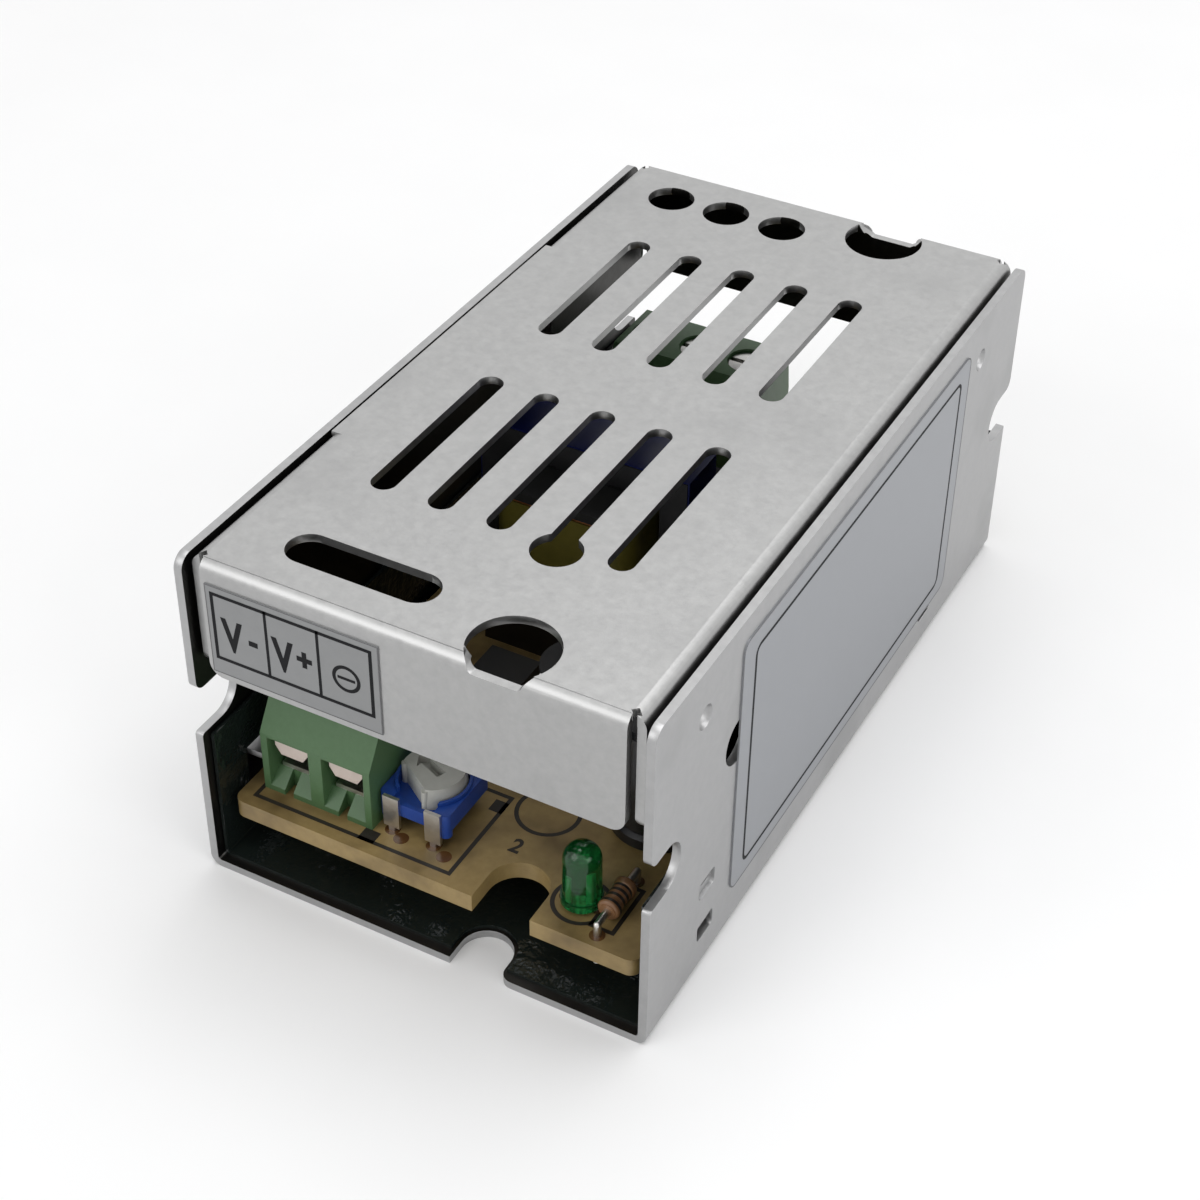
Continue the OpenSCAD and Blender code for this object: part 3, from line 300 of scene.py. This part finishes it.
def settle(piece, place, material, body):
    """Sets a flat piece, made round the origin, on its surface, and gives it its body."""
    bpy.ops.object.select_all(action="DESELECT")
    piece.select_set(True)
    bpy.context.view_layer.objects.active = piece
    piece.matrix_world = place @ piece.matrix_world
    bpy.ops.object.transform_apply(location=True, rotation=True, scale=True)
    piece.data.materials.clear()
    piece.data.materials.append(material)
    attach(piece, body)


def joined(pieces, name):
    """Joins flat pieces into one object."""
    bpy.ops.object.select_all(action="DESELECT")
    for piece in pieces:
        piece.select_set(True)
    bpy.context.view_layer.objects.active = pieces[0]
    if len(pieces) > 1:
        bpy.ops.object.join()
    pieces[0].name = name
    return pieces[0]


def frame_line(x0, y0, x1, y1, line, corner=0.0):
    """A printed rectangle, drawn as a line of the given width inside its outer edge."""
    bpy.ops.object.select_all(action="DESELECT")
    bpy.ops.mesh.primitive_plane_add(size=1.0)
    piece = bpy.context.object
    piece.scale = (x1 - x0, y1 - y0, 1)
    piece.location = ((x0 + x1) / 2, (y0 + y1) / 2, 0)
    bpy.ops.object.transform_apply(location=True, rotation=True, scale=True)
    bpy.ops.object.mode_set(mode="EDIT")
    bpy.ops.mesh.select_all(action="SELECT")
    if corner:
        bpy.ops.mesh.bevel(offset=corner, segments=6, affect="VERTICES")
    if line:
        bpy.ops.mesh.inset(thickness=line)
        bpy.ops.mesh.delete(type="FACE")
    bpy.ops.object.mode_set(mode="OBJECT")
    return piece


def ring_line(x, y, r, line, parts=40):
    """A printed circle, or a filled disc where the line has no width."""
    bpy.ops.object.select_all(action="DESELECT")
    bpy.ops.mesh.primitive_circle_add(vertices=parts, radius=r, fill_type="NGON", location=(x, y, 0))
    piece = bpy.context.object
    bpy.ops.object.transform_apply(location=True, rotation=True, scale=True)
    if line:
        bpy.ops.object.mode_set(mode="EDIT")
        bpy.ops.mesh.select_all(action="SELECT")
        bpy.ops.mesh.inset(thickness=line)
        bpy.ops.mesh.delete(type="FACE")
        bpy.ops.object.mode_set(mode="OBJECT")
    return piece


def character(text, x, y, height, squeeze, weight):
    """One printed character, with the middle of its foot at (x, y)."""
    bpy.ops.object.select_all(action="DESELECT")
    bpy.ops.object.text_add()
    piece = bpy.context.object
    piece.data.body = text
    piece.data.size = height * 1.38
    piece.data.offset = weight
    piece.data.align_x = "CENTER"
    piece.data.resolution_u = 6
    bpy.ops.object.convert(target="MESH")
    piece.scale = (squeeze, 1, 1)
    piece.location = (x, y, 0)
    bpy.ops.object.transform_apply(location=True, rotation=True, scale=True)
    return piece


board_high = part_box("circuit_board")[1]
block_low, block_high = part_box("output_block")
trimmer_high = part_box("trimmer_base")[1]
led_low, led_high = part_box("indicator_led")
led_x, led_y = (led_low[0] + led_high[0]) / 2, (led_low[1] + led_high[1]) / 2
coat_low, coat_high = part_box("led_resistor")
coat_x = (coat_low[0] + coat_high[0]) / 2
on_board = Matrix.Translation((0, 0, board_high[2] + PRINT_LIFT))
line = 0.00036
outline_front = block_low[1] - 0.0013
outline_left, outline_right = block_low[0] - 0.0003, trimmer_high[0] + 0.0015
outline_rear = block_high[1] + 0.0004
coat_side, coat_end = 0.0003, 0.0010
figure_height, figure_squeeze, figure_weight = 0.0015, 0.9, 0.00006
legend = [
    frame_line(outline_left, outline_front, outline_right, outline_rear, line),
    frame_line(block_high[0] - 0.0006, outline_front, block_high[0] + 0.0008, block_low[1], 0),
    frame_line(outline_right - 0.0012, block_high[1] - 0.0017, outline_right, block_high[1] - 0.0004, 0),
    ring_line(0.0045, -0.0230, 0.0027, line),
    ring_line(led_x, led_y, 0.0024, line),
    frame_line(coat_low[0] - coat_side, coat_low[1] - coat_end,
               coat_high[0] + coat_side, coat_high[1] + coat_end, line),
    character("8", 0.0086, -0.0275, figure_height, figure_squeeze, figure_weight),
    character("2", 0.0042, -0.0281, figure_height, figure_squeeze, figure_weight),
    character("+", 0.0012, -0.0215, 0.0016, figure_squeeze, figure_weight),
]
settle(joined(legend, "board_legend"), on_board, ink, "case")

# The lands: each lead comes up through a small collar of brown flux resin.
resin = coated("flux_resin", (0.16, 0.075, 0.025), (0.07, 0.03, 0.01), 2500, 0.25, 0.0, 0.2)
pad_low, pad_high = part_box("led_resistor_leads")
lugs_low, lugs_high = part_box("trimmer_lugs")
led_leads_low, led_leads_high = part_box("led_leads")
lead_r = 0.0003
collar_r = 0.00062
lands = [ring_line(x, y, collar_r, 0, 20) for x, y in (
    (led_leads_low[0] + lead_r, led_y), (led_leads_high[0] - lead_r, led_y),
    (coat_x, pad_low[1] + lead_r), (coat_x, pad_high[1] - lead_r),
    (lugs_low[0] + 0.0007, lugs_low[1] + 0.00015), (lugs_high[0] - 0.0007, lugs_low[1] + 0.00015),
    (lugs_high[0] + 0.0006, lugs_low[1] - 0.0005), (lugs_low[0] + 0.0018, lugs_low[1] - 0.0004),
)]
settle(joined(lands, "lead_collars"), Matrix.Translation((0, 0, board_high[2] + 2 * PRINT_LIFT)), resin,
       "case")

# The terminal blocks: green plastic with plated contact frames, leaves and screws.
green = coated("green_terminal_plastic", (0.085, 0.175, 0.075), (0.06, 0.135, 0.05), 1800, 0.42, 0.0, 0.15)
for name in ("output_block", "input_block"):
    finish_node(name, green)
plated = coated("plated_steel", (0.72, 0.71, 0.69), (0.58, 0.57, 0.55), 1500, 0.3, 1.0, 0.1)
for name in ("output_frames", "input_frames", "output_screw_1", "output_screw_2",
             "input_screw_1", "input_screw_2", "input_screw_3"):
    finish_node(name, plated)
leaf = coated("clamp_leaf_metal", (0.76, 0.66, 0.60), (0.58, 0.49, 0.43), 1200, 0.35, 0.6, 0.1)
for name in ("output_leaf_1", "output_leaf_2", "input_leaf_1", "input_leaf_2", "input_leaf_3"):
    finish_node(name, leaf)

# The trimmer: a blue open-frame type with a pale dial and flat tinned lugs.
blue = coated("trimmer_blue", (0.018, 0.075, 0.36), (0.01, 0.045, 0.26), 1200, 0.3, 0.0, 0.1)
finish_node("trimmer_base", blue)
tin = coated("tinned_lead", (0.74, 0.72, 0.69), (0.55, 0.53, 0.50), 2000, 0.3, 1.0, 0.1)
finish_node("trimmer_lugs", tin)
dial_white = coated("dial_white", (0.52, 0.52, 0.48), (0.42, 0.42, 0.385), 1500, 0.45, 0.0, 0.05)
finish_node("trimmer_dial", dial_white)

# The indicator: a 3 mm lamp of clear green resin, moulded round the tops of its two leads,
# one of which carries the cup with the chip.
lens_green = coated("green_lens", (0.022, 0.30, 0.075), (0.012, 0.17, 0.04), 500, 0.12, 0.0, 0.0, 0.03)
lens_green.node_tree.nodes["Principled BSDF"].inputs["Transmission Weight"].default_value = 0.85
lens_green.node_tree.nodes["Principled BSDF"].inputs["IOR"].default_value = 1.45
finish_node("indicator_led", lens_green)
finish_node("led_leads", tin)
posts = []
for x, y, width, top in ((led_x - 0.0005, led_y - 0.0006, 0.00035, 0.0026),
                         (led_x + 0.0005, led_y, 0.0004, 0.0030)):
    bpy.ops.object.select_all(action="DESELECT")
    bpy.ops.mesh.primitive_cube_add(size=1.0, location=(x, y, led_low[2] + top / 2 + 0.0002))
    post = bpy.context.object
    post.scale = (width, 0.0004, top)
    bpy.ops.object.transform_apply(location=True, rotation=True, scale=True)
    bpy.ops.object.mode_set(mode="EDIT")
    bpy.ops.mesh.select_all(action="SELECT")
    bpy.ops.mesh.bevel(offset=0.00008, segments=2)
    bpy.ops.object.mode_set(mode="OBJECT")
    posts.append(post)
bright = coated("lamp_posts", (0.95, 0.98, 0.95), (0.85, 0.92, 0.85), 1500, 0.4)
settle(joined(posts, "lamp_posts"), Matrix.Identity(4), bright, "case")

# The lamp's resistor: a brown lacquered barrel with swollen ends and painted bands.
resistor_coat = coated("resistor_coat", (0.30, 0.155, 0.07), (0.21, 0.10, 0.045), 1500, 0.35, 0.0, 0.1)
finish_node("led_resistor", resistor_coat)
finish_node("led_resistor_leads", tin)
coat_r = (coat_high[0] - coat_low[0]) / 2
coat_z = (coat_low[2] + coat_high[2]) / 2
coat_length = coat_high[1] - coat_low[1]


def barrel_band(share, width, radius, round_off):
    """A turned band round the barrel, at a share of its length from its front end."""
    bpy.ops.object.select_all(action="DESELECT")
    bpy.ops.mesh.primitive_cylinder_add(vertices=32, radius=radius, depth=width,
                                        location=(coat_x, coat_low[1] + share * coat_length, coat_z),
                                        rotation=(math.pi / 2, 0, 0))
    band = bpy.context.object
    bpy.ops.object.transform_apply(location=True, rotation=True, scale=True)
    if round_off:
        edge = band.modifiers.new("edge", "BEVEL")
        edge.width = round_off
        edge.segments = 4
        edge.limit_method = "ANGLE"
        bpy.ops.object.modifier_apply(modifier="edge")
    bpy.ops.object.shade_smooth_by_angle(angle=math.radians(40))
    return band


ends = [barrel_band(share, 0.0008, coat_r + 0.00012, 0.00025) for share in (0.14, 0.86)]
settle(joined(ends, "resistor_ends"), Matrix.Identity(4), resistor_coat, "case")
band_black = coated("band_dark", (0.03, 0.022, 0.018), (0.015, 0.012, 0.01), 1500, 0.35)
bands = [barrel_band(share, 0.00026, coat_r + grow, 0)
         for share, grow in ((0.14, 0.00013), (0.38, 0.00002), (0.55, 0.00002), (0.72, 0.00002))]
settle(joined(bands, "resistor_bands"), Matrix.Identity(4), band_black, "case")

# The transformer: a dark ferrite core on a black bobbin, with taped windings.
ferrite = coated("ferrite", (0.03, 0.03, 0.032), (0.018, 0.018, 0.02), 1800, 0.55, 0.0, 0.3)
finish_node("transformer_core", ferrite)
black_plastic = coated("black_plastic", (0.02, 0.02, 0.02), (0.012, 0.012, 0.012), 900, 0.4, 0.0, 0.05)
finish_node("transformer_bobbin", black_plastic)
copper = coated("copper_wire", (0.62, 0.27, 0.12), (0.48, 0.19, 0.08), 1500, 0.3, 0.8, 0.3)
finish_node("transformer_winding", copper)
yellow = coated("yellow_tape", (0.20, 0.17, 0.03), (0.13, 0.11, 0.02), 900, 0.3, 0.0, 0.05)
finish_node("winding_tape", yellow)
blue_tape = coated("blue_tape", (0.006, 0.014, 0.14), (0.004, 0.009, 0.09), 900, 0.3, 0.0, 0.05)
finish_node("core_tape", blue_tape)
finish_node("transformer_pins", tin)

# The capacitors: aluminium cans in dark sleeves, with bare tops scored to vent and a pale
# stripe down the side of the negative lead.
sleeve = coated("capacitor_sleeve", (0.012, 0.013, 0.015), (0.007, 0.007, 0.009), 600, 0.25, 0.0, 0.05)
finish_node("bulk_capacitor", sleeve)
finish_node("output_capacitors", sleeve)
finish_node("capacitor_leads", tin)
can_top = coated("can_top", (0.5, 0.5, 0.5), (0.38, 0.38, 0.385), 1500, 0.4, 1.0, 0.1)
stripe_grey = coated("sleeve_stripe", (0.42, 0.43, 0.42), (0.33, 0.34, 0.33), 1500, 0.35)
bulk_low, bulk_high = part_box("bulk_capacitor")
caps_low, caps_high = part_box("output_capacitors")
cap_r = (caps_high[0] - caps_low[0]) / 2
bulk_r = (bulk_high[0] - bulk_low[0]) / 2
cans = [(bulk_low[0] + bulk_r, bulk_low[1] + bulk_r, bulk_r, bulk_high[2], 1.2),
        (caps_low[0] + cap_r, caps_low[1] + cap_r, cap_r, caps_high[2], 4.2),
        (caps_low[0] + cap_r, caps_high[1] - cap_r, cap_r, caps_high[2], 2.6)]
sleeve_lap, vent_depth, score_half = 0.00095, 0.00012, 0.00012
stripe_half_angle, stripe_proud = 0.28, 0.00002
tops, stripes = [], []
for x, y, r, top, turn in cans:
    disc = ring_line(x, y, r - sleeve_lap, 0, 36)
    bpy.ops.object.mode_set(mode="EDIT")
    bpy.ops.mesh.select_all(action="SELECT")
    bpy.ops.mesh.inset(thickness=0.0003, depth=-0.0001)
    bpy.ops.transform.translate(value=(0, 0, top - vent_depth))
    bpy.ops.object.mode_set(mode="OBJECT")
    tops.append(disc)
    for angle in (turn, turn + math.pi / 2):
        score = frame_line(-0.6 * r, -score_half, 0.6 * r, score_half, 0)
        score.matrix_world = Matrix.Translation((x, y, top - 0.00021)) @ Matrix.Rotation(angle, 4, "Z")
        bpy.ops.object.transform_apply(location=True, rotation=True, scale=True)
        stripes.append(score)
    bpy.ops.object.select_all(action="DESELECT")
    bpy.ops.mesh.primitive_cylinder_add(vertices=72, radius=r + stripe_proud,
                                        depth=top - board_high[2] - 0.0034, end_fill_type="NOTHING",
                                        location=(x, y, (top + board_high[2]) / 2 + 0.0009))
    strip = bpy.context.object
    bpy.ops.object.transform_apply(location=True, rotation=True, scale=True)
    bpy.ops.object.mode_set(mode="EDIT")
    bpy.ops.mesh.select_all(action="DESELECT")
    bpy.ops.object.mode_set(mode="OBJECT")
    for face in strip.data.polygons:
        away = math.atan2(face.center[1] - y, face.center[0] - x) - turn
        face.select = abs(math.remainder(away, 2 * math.pi)) > stripe_half_angle
    bpy.ops.object.mode_set(mode="EDIT")
    bpy.ops.mesh.delete(type="FACE")
    bpy.ops.object.mode_set(mode="OBJECT")
    bpy.ops.object.shade_smooth_by_angle(angle=math.radians(30))
    stripes.append(strip)
settle(joined(tops, "can_tops"), Matrix.Identity(4), can_top, "case")
settle(joined(stripes, "can_stripes"), Matrix.Identity(4), stripe_grey, "case")

# The small parts on the board.
fuse_coat = coated("fuse_coat", (0.06, 0.17, 0.09), (0.045, 0.13, 0.07), 1200, 0.4, 0.0, 0.1)
finish_node("input_fuse", fuse_coat)
black_epoxy = coated("black_epoxy", (0.02, 0.02, 0.02), (0.014, 0.014, 0.014), 1500, 0.5, 0.0, 0.1)
for name in ("rectifier_diodes", "output_diode", "controller_chip", "optocoupler"):
    finish_node(name, black_epoxy)
blue_epoxy = coated("blue_epoxy", (0.012, 0.05, 0.22), (0.008, 0.03, 0.15), 900, 0.3, 0.0, 0.1)
finish_node("safety_capacitor", blue_epoxy)
finish_node("choke_core", ferrite)
finish_node("choke_winding", copper)
for name in ("axial_leads", "safety_capacitor_leads", "choke_leads", "controller_pins", "optocoupler_pins"):
    finish_node(name, tin)

# The cover: a second sheet of the same stock, folded down on all four sides and clicked
# into place. Its top is a little scuffed, and its inner faces are painted near black as painted shade.
cover_sheet = coated("cover_sheet", (0.48, 0.48, 0.475), (0.355, 0.355, 0.355), 1500, 0.38, 1.0, 0.12, 0.08)
scuffed = stained(cover_sheet, (0.35, 0.35, 0.35), 80, 0.55, 0.85)
# The inward-facing faces of the cover are painted near black: painted shade inside the case.
shade_inside(cover_sheet, scuffed, case_half, (0.040, 0.038, 0.035))
cover_edge = 0.00010
softened("top_cover", "folded_cover", cover_edge, cover_sheet)

# The foil labels: one large one on the right-hand wall with a ruled border, and one over
# the terminals with a ruled box that marks the negative and positive ways, and the adjusting
# screw by a slotted ring. A thin dark line round each label's outline is painted shade at the
# foil's edge.
foil = coated("label_foil", (0.36, 0.37, 0.39), (0.30, 0.31, 0.33), 700, 0.40, 0.8, 0.03)
finish_node("rating_label", foil)
terminal_foil = coated("terminal_foil", (0.30, 0.304, 0.306), (0.245, 0.249, 0.252), 700, 0.40, 0.8, 0.03)
finish_node("terminal_label", terminal_foil)
wall_low, wall_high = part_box("rating_label")
on_wall = Matrix(((0, 0, 1, wall_high[0] + PRINT_LIFT), (1, 0, 0, 0), (0, 1, 0, 0), (0, 0, 0, 1)))
rule = coated("label_ink", (0.010, 0.010, 0.012), (0.005, 0.005, 0.006), 2500, 0.6)
rule.node_tree.nodes["Principled BSDF"].inputs["Specular IOR Level"].default_value = 0.15
# The dark grey for the thin line round each label's outline: painted shade at the foil's edge.
edge_shade_grey = coated("label_edge_shade", (0.12, 0.12, 0.125), (0.08, 0.08, 0.085), 2500, 0.5)
border = frame_line(wall_low[1] + 0.0020, wall_low[2] + 0.0013,
                    wall_high[1] - 0.0018, wall_high[2] - 0.0016, 0.00032, 0.0009)
settle(joined([border], "rating_border"), on_wall, rule, "case")
# A thin dark line round the rating label's outline: painted shade at the foil's edge.
edge_shade_line = frame_line(wall_low[1], wall_low[2], wall_high[1], wall_high[2], 0.00012, 0.00099)
settle(joined([edge_shade_line], "rating_edge_shade"), on_wall, edge_shade_grey, "case")

flap_low, flap_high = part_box("terminal_label")
on_flap = Matrix(((1, 0, 0, 0), (0, 0, -1, flap_low[1] - PRINT_LIFT), (0, 1, 0, 0), (0, 0, 0, 1)))
box_left, box_right = flap_low[0] + 0.0004, flap_high[0] - 0.00055
box_foot, box_head = flap_low[2] + 0.00135, flap_high[2] - 0.00055
first_rule, second_rule = -0.01175, -0.0073
rule_width = 0.00026
marks = [
    frame_line(box_left, box_foot, box_right, box_head, rule_width + 0.00004),
    frame_line(first_rule - rule_width / 2, box_foot, first_rule + rule_width / 2, box_head, 0),
    frame_line(second_rule - rule_width / 2, box_foot, second_rule + rule_width / 2, box_head, 0),
]
letter_height, letter_squeeze, letter_weight = 0.0029, 0.68, 0.00014
letter_foot = box_foot + 0.00125
for x in (-0.0148, -0.0104):
    marks.append(character("V", x, letter_foot, letter_height, letter_squeeze, letter_weight))
for text, x in (("-", -0.0130), ("+", -0.00855)):
    marks.append(character(text, x, letter_foot + 0.0008, 0.65 * letter_height, 0.9, 0.00012))
dial_x, dial_z = (second_rule + box_right) / 2, letter_foot + letter_height / 2
dial_slot = 0.00075
marks.append(ring_line(dial_x, dial_z, 0.0012, 0.0003))
marks.append(frame_line(dial_x - dial_slot, dial_z - rule_width / 2,
                        dial_x + dial_slot, dial_z + rule_width / 2, 0))
settle(joined(marks, "terminal_marks"), on_flap, rule, "case")
# A thin dark line round the terminal label's outline: painted shade at the foil's edge.
edge_shade_line = frame_line(flap_low[0], flap_low[2], flap_high[0], flap_high[2], 0.00008)
settle(joined([edge_shade_line], "terminal_label_edge"), on_flap, edge_shade_grey, "case")
